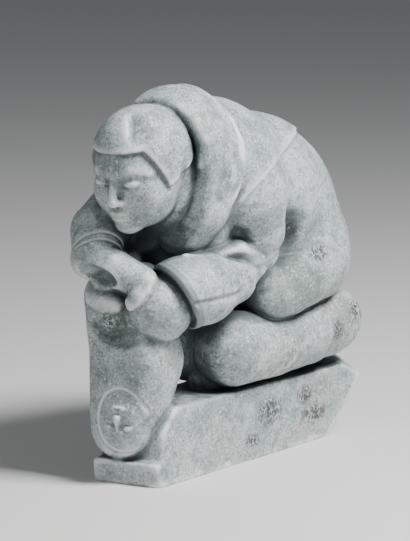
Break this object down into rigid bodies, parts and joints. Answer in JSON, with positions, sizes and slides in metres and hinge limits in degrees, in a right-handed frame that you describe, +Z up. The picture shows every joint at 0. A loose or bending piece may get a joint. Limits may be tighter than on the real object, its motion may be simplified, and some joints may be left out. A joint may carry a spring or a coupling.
{
  "type": "stone carving of a father and child",
  "caption": "Stone carving on a long low slab: a kneeling father in a hooded parka bends forward and holds a hooded child upside down in front of him.",
  "frame": {"origin": "on the flat underside of the slab, between its two long sides and near the middle of its length", "axes": "+Z up, -Y the way the father faces, +X the father's left"},
  "size_m": [0.1276, 0.2879, 0.2759],
  "materials": {
    "stone": "dry matte grey-green soapstone with polished pale edges"
  },
  "bodies": {
    "root": {"stone_carving": "stone"}
  },
  "joints": []
}
